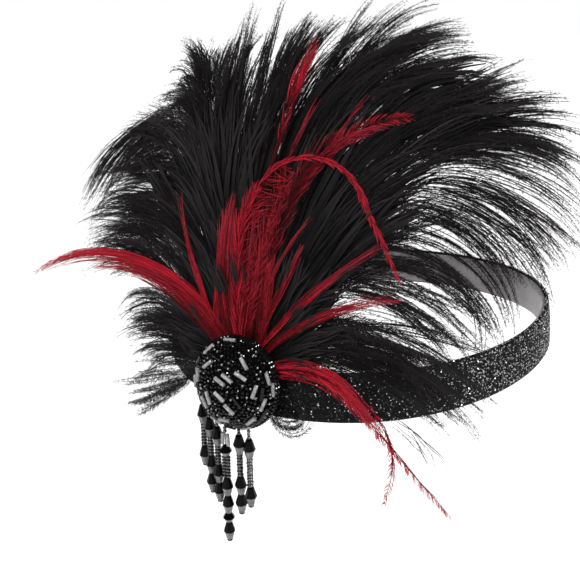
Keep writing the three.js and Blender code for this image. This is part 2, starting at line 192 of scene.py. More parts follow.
black_feather = feather_material(
    "black_feather",
    [(0.0, (0.0022, 0.0018, 0.0019)), (0.6, (0.008, 0.0069, 0.0072)), (1.0, (0.042, 0.037, 0.038))],
    tip=(0.018, 0.016, 0.0165), tip_from=0.55, roughness=0.6, painted_root_shade=-0.1)
red_feather = feather_material(
    "red_feather",
    [(0.0, (0.02, 0.0005, 0.0012)), (0.5, (0.115, 0.0022, 0.0055)), (1.0, (0.46, 0.011, 0.026))],
    tip=(0.3, 0.02, 0.035), tip_from=0.6, roughness=0.65, painted_root_shade=-0.4)

# Darkest and lightest colour, roughness, noise scale, and other values on the shader
GLASS = {
    "bead_black": ((0.0008, 0.0008, 0.0009), (0.003, 0.003, 0.0034), 0.1, 400, {"Specular IOR Level": 0.22}),
    # Light grey glass for painted highlights: bugles and small beads that stand for glints on black glass.
    "bead_painted_highlight": ((0.15, 0.15, 0.155), (0.33, 0.33, 0.34), 0.3, 900,
                    {"Metallic": 0.15, "Coat Weight": 0.3, "Coat Roughness": 0.05}),
    "bead_cut": ((0.0012, 0.0012, 0.0013), (0.004, 0.004, 0.0044), 0.06, 300, {"Specular IOR Level": 0.06}),
    "bead_shine": ((0.0012, 0.0012, 0.0013), (0.004, 0.004, 0.0044), 0.05, 300, {"IOR": 1.9}),
    # Grey glass for the drops below their girdle: painted reflection of the pale floor in black glass.
    "bead_painted_reflection": ((0.06, 0.06, 0.062), (0.13, 0.13, 0.132), 0.2, 500, {"Specular IOR Level": 0.6}),
}
glass = {}
for name, (dark, light, roughness, scale, more) in GLASS.items():
    glass[name] = textured(name, {"Scale": scale, "Detail": 2.0}, [(0.35, dark), (0.7, light)],
                           {"Roughness": roughness, **more})

brooch_cloth = textured(
    "brooch_cloth", {"Scale": 900.0, "Detail": 3.0},
    [(0.3, (0.001, 0.001, 0.001)), (0.8, (0.006, 0.006, 0.0062))],
    {"Roughness": 0.9, "Specular IOR Level": 0.03}, object_space=False)
band_cloth = textured(
    "band_cloth", {"Scale": 1400.0},
    [(0.0, (0.009, 0.009, 0.0095)), (0.35, (0.003, 0.003, 0.003)), (1.0, (0.001, 0.001, 0.001))],
    {"Roughness": 0.6, "Specular IOR Level": 0.08}, kind="TexVoronoi", relief=(None, 0.6, 0.0003))
satin = textured(
    "satin", {"Scale": 60.0, "Detail": 5.0, "Roughness": 0.6},
    [(0.3, (0.1, 0.089, 0.097)), (0.7, (0.165, 0.149, 0.16))],
    {"Roughness": 0.45, "Sheen Weight": 0.2}, relief=({"Scale": 2500.0, "Detail": 2.0}, 0.25, 0.0002))

# Each flake's tone is its map's second coordinate.
glitter, glitter_tree, glitter_shader = material("glitter", {"Metallic": 0.3, "Roughness": 0.28})
glitter_place = add(glitter_tree, "UVMap", uv_map="OFBake")
glitter_split = add(glitter_tree, "SeparateXYZ", {0: glitter_place.outputs[0]})
glitter_colour = ramp(glitter_tree, glitter_split.outputs["Y"], [
    (0.0, (0.002, 0.002, 0.002)), (0.5, (0.014, 0.014, 0.0145)),
    (0.62, (0.34, 0.34, 0.35)), (1.0, (0.85, 0.85, 0.85))])
glitter_tree.links.new(glitter_colour, glitter_shader.inputs["Base Color"])


def make(name, verts, faces, mat, uv=None, smooth=False):
    """A riding mesh object from points in millimetres and an array of faces, or a list of such arrays."""
    mesh = bpy.data.meshes.new(name)
    groups = faces if isinstance(faces, list) else [faces]
    loops = np.concatenate([g.reshape(-1) for g in groups])
    sizes = np.concatenate([np.full(len(g), g.shape[1]) for g in groups])
    starts = np.concatenate([[0], np.cumsum(sizes)[:-1]])
    mesh.vertices.add(len(verts))
    mesh.vertices.foreach_set("co", (verts * 0.001).astype(np.float32).reshape(-1))
    mesh.loops.add(len(loops))
    mesh.loops.foreach_set("vertex_index", loops.astype(np.int32))
    mesh.polygons.add(len(sizes))
    mesh.polygons.foreach_set("loop_start", starts.astype(np.int32))
    mesh.polygons.foreach_set("loop_total", sizes.astype(np.int32))
    mesh.update(calc_edges=True)
    if uv is not None:
        layer = mesh.uv_layers.new(name="OFBake")
        layer.data.foreach_set("uv", np.asarray(uv, np.float32)[loops].reshape(-1))
    mesh.polygons.foreach_set("use_smooth", np.full(len(sizes), smooth))
    mesh.validate()
    mesh.materials.append(mat)
    o = in_scene(name, mesh)
    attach(o, "root")
    return o


def ring_faces(rings, segments):
    """Quads between rings of points that follow each other."""
    i = np.arange(segments)
    j = (i + 1) % segments
    return np.concatenate([
        np.stack([k * segments + i, k * segments + j, (k + 1) * segments + j, (k + 1) * segments + i], 1)
        for k in range(rings - 1)])


def loop_normal(angle):
    dx = HALF_WIDTH * (np.cos(angle) + FRONT_FULLNESS * np.cos(2 * angle))
    dy = HALF_LENGTH * np.sin(angle)
    r = np.hypot(dx, dy)
    return np.stack([dy / r, -dx / r, np.zeros_like(r)], -1)


def loop_point(angle, inward, height):
    x = HALF_WIDTH * np.sin(angle) * (1 + FRONT_FULLNESS * np.cos(angle))
    y = -HALF_LENGTH * np.cos(angle)
    n = loop_normal(angle)
    shift = inward + height * math.tan(BAND_LEAN)
    return np.stack([x - n[..., 0] * shift, y - n[..., 1] * shift, height + 0 * x], -1)


# Directions at the brooch's seat: across the brooch, up the leaning band and straight out of it
LEVEL = loop_normal(np.array(BROOCH_ANGLE))
ACROSS = np.array([-LEVEL[1], LEVEL[0], 0])
UP = np.array([0, 0, math.cos(BAND_LEAN)]) - LEVEL * math.sin(BAND_LEAN)
OUT = LEVEL * math.cos(BAND_LEAN) + np.array([0, 0, math.sin(BAND_LEAN)])
DOWN = np.array([0, 0, -1.0])
SEAT = loop_point(np.array(BROOCH_ANGLE), 0, BROOCH_HEIGHT)


def seat_point(across, up, out):
    across, up, out = np.broadcast_arrays(across, up, out)
    return SEAT + across[..., None] * ACROSS + up[..., None] * UP + out[..., None] * OUT


def seat_rings(pairs, segments):
    """Rings of points round the brooch's axis, from (radius, out) pairs."""
    a = np.arange(segments) * 2 * np.pi / segments
    return np.concatenate([seat_point(r * np.cos(a), r * np.sin(a), d) for r, d in pairs])


def fan_point(across, up, out):
    """A point of the plume, whose far side bends back round the head."""
    wrap = np.where(across > 0, across ** 2 / (2 * WRAP_RADIUS), 0)
    return seat_point(across, up, out - wrap)


def ribbon(name, section, mat, around=240):
    """A smooth closed ribbon round the head from (inward, height) pairs."""
    angle = np.arange(around) * 2 * np.pi / around
    verts = np.stack([loop_point(angle, inward, height) for inward, height in section], 1)
    count = len(section)
    i, j = np.meshgrid(np.arange(around), np.arange(count), indexing="ij")
    a = i * count + j
    b = i * count + (j + 1) % count
    c = ((i + 1) % around) * count + (j + 1) % count
    d = ((i + 1) % around) * count + j
    return make(name, verts.reshape(-1, 3), np.stack([a, b, c, d], -1).reshape(-1, 4), mat, smooth=True)


half_wall = BAND_WALL / 2
turns = np.linspace(0, np.pi, 5)
band_section = [(BAND_WALL, BAND_EDGE), (BAND_WALL, BAND_HEIGHT - BAND_EDGE)]
band_section += [(half_wall + half_wall * math.cos(t), BAND_HEIGHT - BAND_EDGE + BAND_EDGE * math.sin(t))
                 for t in turns[1:]]
band_section += [(-BAND_SWELL * math.sin(math.pi * share), BAND_HEIGHT * share)
                 for share in (0.85, 0.7, 0.5, 0.3, 0.15)]
band_section += [(half_wall - half_wall * math.cos(t), BAND_EDGE - BAND_EDGE * math.sin(t))
                 for t in turns[:-1]]
band = ribbon("band_cloth", band_section, band_cloth)
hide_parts("band")

outside = BAND_WALL + CLEARANCE
inside = outside + LINING_WALL
low, high = LINING_MARGIN, BAND_HEIGHT - LINING_MARGIN
lining = ribbon("lining_satin", [
    (inside, low + LINING_EDGE), (inside, low + 5), (inside - LINING_SLACK, (low + high) / 2),
    (inside, high - 5), (inside, high - LINING_EDGE), (inside - LINING_EDGE, high),
    (outside, high), (outside, low), (inside - LINING_EDGE, low)], satin)
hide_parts("band_lining")

# Glitter flakes on the outside of the band, each a small tilted hexagon
FLAKES = 15000
angle = rng.uniform(0, 2 * np.pi, FLAKES)
height = BAND_HEIGHT * rng.uniform(0.015, 0.985, FLAKES)
swell = BAND_SWELL * np.sin(np.pi * height / BAND_HEIGHT)
# A few lie on the band's upper edge.
on_edge = rng.random(FLAKES) < 0.07
centre = loop_point(angle, np.where(on_edge, rng.uniform(0.1, 1.4, FLAKES), -swell - 0.06),
                    np.where(on_edge, BAND_HEIGHT + 0.05, height))
normal = np.where(on_edge[:, None], np.array([0, 0, 1.0]), loop_normal(angle))
tilt = normal + rng.normal(0, 0.42, (FLAKES, 3))
tilt /= np.linalg.norm(tilt, axis=1)[:, None]
side = np.cross(tilt, rng.normal(0, 1, (FLAKES, 3)))
side /= np.linalg.norm(side, axis=1)[:, None]
third = np.cross(tilt, side)
size = rng.uniform(0.16, 0.36, FLAKES)
corner = np.arange(6) * np.pi / 3
flake = centre[:, None] + size[:, None, None] * (
    np.cos(corner)[None, :, None] * side[:, None] + np.sin(corner)[None, :, None] * third[:, None])
# The share of bright flakes at these degrees round the band: few next to the brooch, many at the side
BRIGHT_AT = [0, 35, 50, 62, 80, 95, 360]
BRIGHT_SHARE = [0.3, 0.03, 0.06, 0.2, 0.36, 0.85, 0.6]
bright = np.interp(np.degrees(angle), BRIGHT_AT, BRIGHT_SHARE)
tone = np.where(rng.random(FLAKES) < bright, rng.uniform(0.6, 1, FLAKES), rng.uniform(0, 0.45, FLAKES))
flakes = make("band_glitter", flake.reshape(-1, 3), np.arange(FLAKES * 6).reshape(-1, 6), glitter,
              uv=np.stack([np.tile(corner / 6.3, FLAKES), np.repeat(tone, 6)], 1))

# Streams of the fan, from the lower front round over the top to the lower back. Columns: first heading
# in degrees from straight up, how far it turns, how late it turns, and length as a share of PLUME_LENGTH.
STREAMS = np.array([
    (-112, -13, 1.2, 0.40),
    (-113, 19, 1.4, 0.38),
    (-93, -5, 1.2, 0.37),
    (-74, -13, 1.3, 0.36),
    (-62, -15, 1.7, 0.36),
    (-54, -61, 2.4, 0.54),
    (-35, -112, 2.0, 0.73),
    (-21, -130, 1.8, 0.87),
    (-16, -136, 2.8, 0.84),
    (-16, -125, 3.5, 0.84),
    (-14, -79, 4.0, 0.77),
    (-12, -29, 3.2, 0.78),
    (-15, 8, 1.0, 0.81),
    (-15, 31, 1.6, 0.86),
    (-8, 46, 2.2, 0.87),
    (-4, 47, 1.9, 0.91),
    (6, 80, 2.9, 1.01),
    (13, 100, 3.3, 1.04),
    (20, 84, 2.7, 1.04),
    (26, 95, 3.1, 1.02),
    (32, 125, 3.5, 1.01),
    (34, 133, 3.0, 0.94),
    (36, 134, 2.6, 0.87),
    (37, 142, 2.0, 0.81),
    (48, 122, 1.8, 0.71),
    (58, 103, 1.7, 0.60),
    (73, 64, 2.0, 0.35),
])
SAMPLES = 33  # along a middle line
SHARE = np.linspace(0, 1, SAMPLES)[None, :]


def streams(k):
    """Each column of STREAMS at the row numbers k, which may lie between rows."""
    rows = np.arange(len(STREAMS))
    return [np.interp(k, rows, STREAMS[:, column]) for column in range(4)]


def heading(row, t):
    """The heading in radians at share t, of a stream or of a red shaft."""
    start, curl, bend, settle = row
    return np.radians(start + curl * np.minimum(1, np.maximum(t, 0) / settle) ** bend)


def stream_place(row, length, t, steps=40):
    """Across and up of the point at share t of each stream."""
    fine = np.linspace(0, 1, steps + 1)
    h = heading([v[:, None] for v in row], t[:, None] * (fine[None, 1:] + fine[None, :-1]) / 2)
    step = (t * length / steps)[:, None]
    first = np.radians(row[0])
    across = ROOT_RADIUS * np.sin(first) + (np.sin(h) * step).sum(1)
    up = ROOT_RADIUS * np.cos(first) + (np.cos(h) * step).sum(1)
    return across, up


def run_on(x0, z0, h, length):
    """Across and up along paths that start at x0, z0 and follow the headings h."""
    step = (length / (h.shape[1] - 1))[:, None]
    mid = (h[:, 1:] + h[:, :-1]) / 2
    zero = np.zeros((len(x0), 1))
    x = x0[:, None] + np.concatenate([zero, np.cumsum(np.sin(mid) * step, 1)], 1)
    z = z0[:, None] + np.concatenate([zero, np.cumsum(np.cos(mid) * step, 1)], 1)
    return x, z, h


def follow(k, t0, t1, curl):
    """Middle lines of clumps that stay in their stream from share t0 to t1, with a curl at the tip."""
    start, turn, bend, length = streams(k)
    row = [start, turn, bend, np.ones(len(k))]
    length = length * PLUME_LENGTH
    x0, z0 = stream_place(row, length, t0)
    h = heading([v[:, None] for v in row], t0[:, None] + (t1 - t0)[:, None] * SHARE)
    return run_on(x0, z0, h + np.radians(curl[:, None] * SHARE ** 3), (t1 - t0) * length)


def sampled(rows, at):
    """Each row's value at the given shares along it."""
    u = np.clip(at, 0, 1) * (rows.shape[1] - 1)
    i = np.minimum(u.astype(int), rows.shape[1] - 2)
    f = u - i
    r = np.arange(len(rows))[:, None]
    return rows[r, i] * (1 - f) + rows[r, i + 1] * f


def blade_profile(s, start=0.5, fade=0.75, tip=0.15):
    """Width of a barb from root to tip."""
    return np.clip(start + (1 - start) * s / 0.25, 0, 1) * np.clip((1 - s) / (1 - fade), tip, 1)


def beyond_seat(x, z):
    """How far out of the seat a point of the fan lies, as a share of PLUME_LENGTH."""
    return np.maximum(0, (np.hypot(x, z) - SEAT_RADIUS) / PLUME_LENGTH)


def tuft(path, each, spread, width, fuzz, gap, depth, lift=(0, 3), tone=(0.1, 0.6), samples=14, loose=0.12,
         base=BLACK_OUT, stagger=0.35, across=0.02, flare=0.12, tip=0.15, vary=0.13):
    """Each clump's barbs: they lie side by side along its middle line and draw together at its tip."""
    x, z, h = path
    clumps = len(x)
    owner = np.repeat(np.arange(clumps), each)
    n = len(owner)
    # Where each barb starts and ends along the middle line, which a few leave early
    s0 = rng.uniform(0, stagger, n)
    s1 = np.where(rng.random(n) < loose, rng.uniform(0.55, 0.9, n), rng.normal(0.97, 0.035, n))
    at = s0[:, None] + (s1 - s0)[:, None] * np.linspace(0, 1, samples)[None, :]
    inner = np.clip(at, 0, 1)
    X, Z, H = (sampled(v[owner], at) for v in (x, z, h))
    past = 20 * np.maximum(0, at - 1)
    spindle = flare + (1 - flare) * (4 * inner * (1 - inner)) ** 0.7
    side = rng.normal(0, spread, (n, 1)) * spindle
    side = side + rng.normal(0, 0.8, (n, 1)) * inner ** 4
    side = side + 0.35 * np.sin(2 * np.pi * (at * rng.uniform(1.0, 2.6, (n, 1)) + rng.random((n, 1))))
    X = X + side * np.cos(H) + past * np.sin(H)
    Z = Z - side * np.sin(H) + past * np.cos(H)
    lean = np.repeat(rng.uniform(*depth, clumps), each) + rng.normal(0, 0.7, n)
    raised = np.repeat(rng.normal(*lift, clumps), each) + rng.normal(0, 0.8, n)
    out = base + lean[:, None] * beyond_seat(X, Z) ** 1.5 + raised[:, None] * inner ** 2.5
    s = np.broadcast_to(np.linspace(0, 1, samples), X.shape)
    widths = width * rng.uniform(0.6, 1.3, (n, 1)) * blade_profile(s, tip=tip)
    fuzzes = fuzz * rng.uniform(0.7, 1.2, (n, 1)) * np.clip(s / 0.12, 0.1, 1)
    fuzzes = fuzzes * np.clip((1.08 - s) / 0.4, 0.2, 1)
    tones = np.clip(np.repeat(rng.uniform(*tone, clumps), each) + rng.normal(0, vary, n), 0.01, 0.99)
    return comb(X, Z, out, H, rng.normal(0, 0.4, n), widths, fuzzes, gap, tones, across=across)


# across is painted shade: how much darker one edge of each flat barb is than the other.
def comb(x, z, out, h, roll, width, fuzz, gap, tone, base=0.11, spread=42.0, across=0.02):
    """Ribbon barbs with fine barbules on both edges. width and fuzz are [barb, sample] in millimetres."""
    points = fan_point(x, z, out)
    count, samples = x.shape
    run = np.gradient(points, axis=1)
    run /= np.linalg.norm(run, axis=2)[..., None]
    flat = np.cos(h)[..., None] * ACROSS - np.sin(h)[..., None] * UP
    turned = flat * np.cos(roll)[:, None, None] + OUT * np.sin(roll)[:, None, None]
    wide = turned - (turned * run).sum(2)[..., None] * run
    wide /= np.linalg.norm(wide, axis=2)[..., None]
    s = np.broadcast_to(np.linspace(0, 1, samples), x.shape)
    edges = np.stack([points - wide * width[..., None] / 2, points + wide * width[..., None] / 2], 2)
    verts = [edges.reshape(-1, 3)]
    # Each barb's own tone, plus painted shade: across makes one edge of the flat barb darker than the other.
    tone_and_painted_edge_shade = np.clip(tone[:, None, None] + across * np.array([-0.5, 0.5]), 0.01, 0.99)
    tone_and_painted_edge_shade = np.broadcast_to(tone_and_painted_edge_shade, (count, samples, 2))
    uvs = [np.stack([np.repeat(s[..., None], 2, 2), tone_and_painted_edge_shade], -1).reshape(-1, 2)]
    first = (np.arange(count)[:, None] * samples + np.arange(samples - 1)[None, :]) * 2
    faces = [np.stack([first, first + 1, first + 3, first + 2], -1).reshape(-1, 4)]
    lengths = np.linalg.norm(np.diff(points, axis=1), axis=2).sum(1)
    hairs = np.maximum(0, np.round(lengths / gap)).astype(int)
    owner = np.repeat(np.arange(count), hairs * 2)
    n = len(owner)
    if n and fuzz.max() > 0:
        u = rng.uniform(0.03, 0.99, n) * (samples - 1)
        i = np.minimum(u.astype(int), samples - 2)
        f = (u - i)[:, None]

        def at(a):
            return a[owner, i] * (1 - f) + a[owner, i + 1] * f

        root, forward, sideways = at(points), at(run), at(wide)
        which = np.where(rng.random(n) < 0.5, -1.0, 1.0)[:, None]
        tilt = rng.normal(0, 0.6, (n, 1))
        lateral = (sideways * np.cos(tilt) + np.cross(forward, sideways) * np.sin(tilt)) * which
        angle = np.radians(rng.normal(spread, 10, n))[:, None]
        long = (fuzz[owner, i] * rng.uniform(0.5, 1.15, n))[:, None]
        tip = root + (forward * np.cos(angle) + lateral * np.sin(angle)) * long
        faces.append(len(verts[0]) + np.arange(n * 3).reshape(-1, 3))
        verts.append(np.stack([root - forward * base, root + forward * base, tip], 1).reshape(-1, 3))
        hair_tone = np.clip(tone[owner] + rng.normal(0, 0.17, n), 0.01, 0.99)
        place = np.clip(u / (samples - 1), 0.01, 0.99)
        uvs.append(np.stack([np.repeat(place, 3), np.repeat(hair_tone, 3)], 1))
    return np.concatenate(verts), faces, np.concatenate(uvs)


def feather_piece(name, parts, mat, node):
    """One object of several (points, face groups, map) sets, in place of a node's solid."""
    verts, uvs, groups, start = [], [], {}, 0
    for v, faces, uv in parts:
        verts.append(v)
        uvs.append(uv)
        for g in faces:
            groups.setdefault(g.shape[1], []).append(g + start)
        start += len(v)
    faces = [np.concatenate(g) for g in groups.values()]
    o = make(name, np.concatenate(verts), faces, mat, uv=np.concatenate(uvs))
    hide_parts(node)


def along(k, t0, t1, clumps, each, curl=(0, 12), spread=1.3, width=0.32, fuzz=2.3, gap=0.62, depth=(-9, 1),
          **more):
    """Clumps that follow the streams k, from a share in t0 to a share in t1."""
    start = rng.uniform(*t0, clumps)
    end = np.maximum(start + 0.3, t1[1] - (t1[1] - t1[0]) * rng.random(clumps) ** 1.7)
    path = follow(rng.uniform(*k, clumps), start, end, rng.normal(*curl, clumps))
    return tuft(path, each, spread, width, fuzz, gap, depth, **more)


def guided(rows, clumps, each, jitter=0.4, spread=1.0, width=0.3, fuzz=2.0, gap=0.6, depth=(-6, 2), wild=5,
           **more):
    """Clumps spaced evenly through a set of rows, each a little off its place."""
    at = (np.arange(clumps) + 0.5 + rng.uniform(-jitter, jitter, clumps)) / clumps * (len(rows) - 1)
    x0, z0, first, turn, bend, long = [np.interp(at, np.arange(len(rows)), column) for column in zip(*rows)]
    first = first + rng.normal(0, wild * 0.6, clumps)
    turn = turn + rng.normal(0, wild, clumps)
    long = long * rng.uniform(0.82, 1.06, clumps)
    h = np.radians(first[:, None] + turn[:, None] * SHARE ** bend[:, None])
    path = run_on(x0 + rng.normal(0, 0.8, clumps), z0 + rng.normal(0, 0.8, clumps), h, long)
    return tuft(path, each, spread, width, fuzz, gap, depth, **more)


# Broad barbs in the darkest tones, painted shade deep in the plume, with stronger painted edge shade
# (across).
BROAD = {"width": 1.2, "fuzz": 0, "gap": 9, "depth": (-9, -4), "tone": (0.0, 0.14), "samples": 10,
         "across": 0.1, "flare": 0.7}


def underlay(k, t1, clumps, each):
    """Broad barbs behind, so that the plume is closed near the brooch; their darkest tone is painted shade.
    """
    return along(k, (0.0, 0.15), t1, clumps, each, spread=2.4, **{**BROAD, "width": 1.3})


def backing(rows, clumps):
    """Broad barbs behind a set of rows, in the darkest tones as painted shade."""
    return guided(rows, clumps, 6, spread=2.0, wild=3, tip=0.3, **BROAD)


def roots(k, clumps):
    """Short barbs that all begin at the brooch, so that nothing shows between the layers there."""
    return along(k, (0.0, 0.03), (0.2, 0.3), clumps, 6, spread=1.8, width=1.0, fuzz=1.2, gap=2.5,
                 depth=(-6, -2), tone=(0.0, 0.3), samples=8, stagger=0.06, flare=1.0)


def mass(k, t1, clumps, each, **more):
    """Fine barbs without much down, which close the plume's middle."""
    return along(k, (0.0, 0.45), t1, clumps, each, spread=1.6, width=0.3, fuzz=1.8, gap=1.65, depth=(-8, -1),
                 tone=(0.05, 0.75), vary=0.18, **more)


def black_piece(name, parts):
    feather_piece(name, parts, black_feather, "black_plume")


# Sets of clumps that leave the fan's streams, and that blend from row to row. Columns: across and up of
# the start in millimetres, first heading, turn, how late it turns, and length in millimetres.
ARCS = [
    (-33, 105, -106, -40, 0.6, 84),
    (-32, 100, -88, -60, 0.6, 72),
    (-31, 88, -50, -105, 0.6, 46),
    (-31, 76, -45, -86, 0.6, 38),
    (-29, 70, -59, -51, 0.6, 62),
]
INNER_ARCS = [
    (-29, 96, -70, -75, 0.7, 46),
    (-27, 84, -40, -100, 0.7, 40),
    (-27, 72, -42, -90, 0.7, 42),
    (-26, 62, -50, -65, 0.7, 50),
    (-25, 54, -50, -66, 0.8, 54),
    (-24, 47, -48, -68, 0.8, 54),
    (-23, 40, -44, -72, 0.9, 54),
]
STEM = [
    (-20, 38, -22, -16, 1, 52),
    (-26, 38, -27, -18, 1, 52),
]
FUZZ = [
    (-22, 28, -4, -126, 1.1, 85),
    (-21, 26, -6, -120, 0.8, 92),
    (-24, 20, -33, -78, 1.1, 69),
    (-24, 17, -45, -83, 1.9, 56),
]
LOW_LEFT = [
    (-18, 14, -48, -95, 1.7, 57),
    (-18, 8, -64, -65, 1.2, 46),
    (-18, 3, -90, -40, 2.2, 43),
]
LOOSE_LEFT = [
    (-18, 2, -98, -25, 2.2, 45),
    (-19, 0, -112, 8, 2, 52),
    (-19, -1, -124, 18, 4, 51),
    (-20, -2, -134, 22, 4, 49),
]
BULGE = [
    (-24, 84, -22, -110, 1.6, 30),
    (-24, 90, -14, -120, 2, 28),
    (-22, 94, -6, -90, 2.2, 26),
]
TIP = [
    (-27, 101, -24, -168, 2.5, 22),
    (-25, 107, -8, -130, 3.3, 20),
    (-23, 105, -5, -40, 1.5, 23),
    (-21, 102, -3, 41, 4, 25),
]
SPIKES = [
    (-20, 92, -3, 30, 3, 36),
    (-16, 90, -8, 34, 0.8, 44),
    (-6, 90, 12, -4, 3, 50),
    (3, 92, 21, 26, 3, 48),
    (10, 95, 23, 32, 2.8, 46),
]
CROWN = [
    (16, 90, 14, 24, 1.3, 53),
    (24, 92, 19, 58, 1.7, 60),
    (33, 97, 26, 70, 1.7, 54),
    (42, 102, 33, 66, 1, 48),
]
JOIN = [
    (40, 96, 36, 62, 1, 50),
    (43, 90, 40, 56, 0.9, 54),
    (45, 84, 44, 52, 0.8, 56),
    (48, 80, 44, 58, 0.8, 58),
]
CORNER = [
    (37, 93, 25, 58, 1.2, 48),
    (41, 90, 29, 60, 1.2, 47),
    (45, 87, 34, 60, 1.1, 48),
]
RIGHT = [
    (48, 92, 34, 38, 0.7, 48),
    (56, 91, 32, 52, 0.7, 52),
    (60, 88, 46, 70, 1.2, 54),
    (60, 85, 44, 92, 0.9, 58),
]
DROOP = [
    (60, 85, 38, 104, 0.6, 60),
    (53, 78, 55, 90, 0.6, 66),
    (45, 68, 48, 100, 0.6, 66),
]
OVER_LINING = [
    (36, 58, 22, 150, 0.7, 86),
    (31, 48, 55, 104, 1.1, 72),
    (29, 41, 44, 92, 0.6, 69),
    (25, 35, 48, 80, 0.6, 64),
]
BETWEEN = [
    (22, 30, 50, 82, 0.6, 62),
    (20, 25, 48, 84, 0.65, 68),
    (18, 21, 46, 86, 0.7, 74),
]
LOW_RIGHT = [
    (18, 18, 45, 88, 0.7, 79),
    (17, 14, 55, 75, 0.7, 76),
    (15, 11, 60, 62, 0.6, 66),
]
FLYAWAY = [
    (56, -4, 100, 46, 0.8, 26),
    (60, -2, 105, 40, 0.9, 30),
]
WISPS = [
    (11.5, -8, 188, -182, 1, 34),
    (12, -8, 184, -180, 1, 29),
    (13, -8, 176, -172, 1, 20),
    (14, -8, 166, -160, 1, 13),
]

black_piece("feather_left", [
    roots((1, 9.4), 26),
    underlay((3, 9.4), (0.35, 0.55), 44, 6),
    underlay((6.3, 9.6), (0.52, 0.7), 26, 6),
    underlay((9.4, 12.5), (0.6, 0.85), 26, 6),
    backing(STEM, 12),
    guided(LOOSE_LEFT, 13, 3, spread=0.7, width=0.22, fuzz=3.2, gap=0.4, depth=(-3, 3), tone=(0.2, 0.6),
           wild=7),
    guided(LOW_LEFT, 25, 7, spread=1.2, fuzz=2.8, gap=0.9, depth=(-4, 3), tone=(0.25, 0.8), wild=9),
    mass((2, 8), (0.6, 0.9), 28, 8, curl=(0, 20)),
    mass((6.5, 8.6), (0.5, 0.8), 10, 6),
    guided(FUZZ, 38, 6, spread=1.4, fuzz=2.6, gap=1.1, depth=(-7, 2), tone=(0.2, 0.75), wild=12),
    guided(ARCS, 34, 6, jitter=0.25, spread=0.9, fuzz=1.8, gap=0.9, depth=(-5, 0), wild=4),
    guided(INNER_ARCS, 46, 5, jitter=0.3, spread=0.7, width=0.26, fuzz=1.7, gap=0.95, depth=(-5, 0)),
    mass((8.6, 11.2), (0.82, 0.98), 34, 8, curl=(-6, 10)),
    guided(BULGE, 34, 7, spread=1.2, fuzz=1.9, gap=0.95, wild=10),
    guided(TIP, 30, 6, spread=1.1, fuzz=1.9, gap=0.95, wild=14),
])
black_piece("feather_crown", [
    roots((9.4, 16.5), 30),
    underlay((11.5, 17), (0.6, 0.82), 56, 6),
    mass((10.4, 13.5), (0.75, 0.92), 36, 8, curl=(2, 8)),
    mass((12.5, 17), (0.7, 0.9), 56, 8, curl=(4, 8)),
    along((11, 17), (0.3, 0.6), (0.85, 1.0), 24, 7, curl=(4, 8), gap=0.8),
    guided(SPIKES, 26, 9, jitter=0.3, spread=1.3, width=0.33, gap=0.85),
    guided(CROWN, 30, 7, jitter=0.3, spread=0.9, gap=0.75),
])
black_piece("feather_right", [
    roots((16.5, 22), 26),
    roots((22, 25.9), 34),
    underlay((16.5, 21.5), (0.5, 0.7), 44, 6),
    underlay((21, 25.6), (0.28, 0.42), 26, 6),
    mass((21.5, 25.8), (0.34, 0.52), 26, 7, curl=(4, 10)),
    mass((16, 19.6), (0.68, 0.9), 52, 8, curl=(4, 10)),
    mass((19, 22.5), (0.42, 0.66), 32, 8, curl=(0, 10)),
    along((16.2, 19), (0.2, 0.5), (0.75, 0.92), 18, 7, curl=(4, 8), gap=0.8),
    guided(JOIN, 16, 7, spread=1.3, gap=1.0, depth=(-7, 0)),
    backing(CORNER, 8),
    guided(CORNER, 12, 7, jitter=0.3, spread=1.5, gap=1.4, depth=(-7, 0)),
    guided(RIGHT, 34, 8, spread=1.2, width=0.32, fuzz=2.1, gap=1.0, wild=6),
    guided(DROOP, 25, 6, jitter=0.45, spread=1.6, width=0.25, gap=0.95, wild=8),
])
black_piece("feather_low", [
    guided(OVER_LINING, 17, 8, width=0.26, fuzz=2.2, gap=0.65, wild=6),
    guided(BETWEEN, 10, 5, width=0.22, gap=0.8, wild=8, tone=(0.2, 0.7)),
    guided(LOW_RIGHT, 19, 9, jitter=0.35, spread=1.2, fuzz=2.2, gap=0.65, wild=6, tip=0.3),
    guided(FLYAWAY, 4, 2, jitter=0.2, spread=0.5, fuzz=1.2, gap=1.2, wild=3),
    guided(WISPS, 9, 2, jitter=0.2, spread=0.3, width=0.2, fuzz=2.6, gap=0.45, depth=(0, 2), wild=6,
           tone=(0.2, 0.7), stagger=0.04),
])


def disc(name, radius, thickness, back, node, segments=64, edge=0.3):
    """A round cloth backing that feathers are sewn to."""
    front = back + thickness
    rings = [(radius - edge, back), (radius, back + edge), (radius, front - edge), (radius - edge, front)]
    i = np.arange(segments)
    caps = [i[::-1][None, :], (3 * segments + i)[None, :]]
    o = make(name, seat_rings(rings, segments), [ring_faces(4, segments)] + caps, brooch_cloth)
    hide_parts(node)


disc("plume_pad", PAD_RADIUS, PAD_THICKNESS, PAD_BACK, "black_plume")

# Red shafts: start, curl, bend, settling share, length as a share of PLUME_LENGTH, and rise
LEFT_ARC = (-21, -101, 0.7, 1, 0.83, 0.5)
HOOK = (-7, 159, 2.5, 0.77, 1.02, 0.95)
MIDDLE = (0, 23, 0.8, 1, 0.50, 0.5)
TALL = (2, 25, 1.4, 1, 0.81, 0.5)
LOWER_ARC = (63, 70, 1.55, 0.434, 0.637, 0.6)
BRANCH = (67, 121, 1.44, 0.877, 0.583, 0.6)
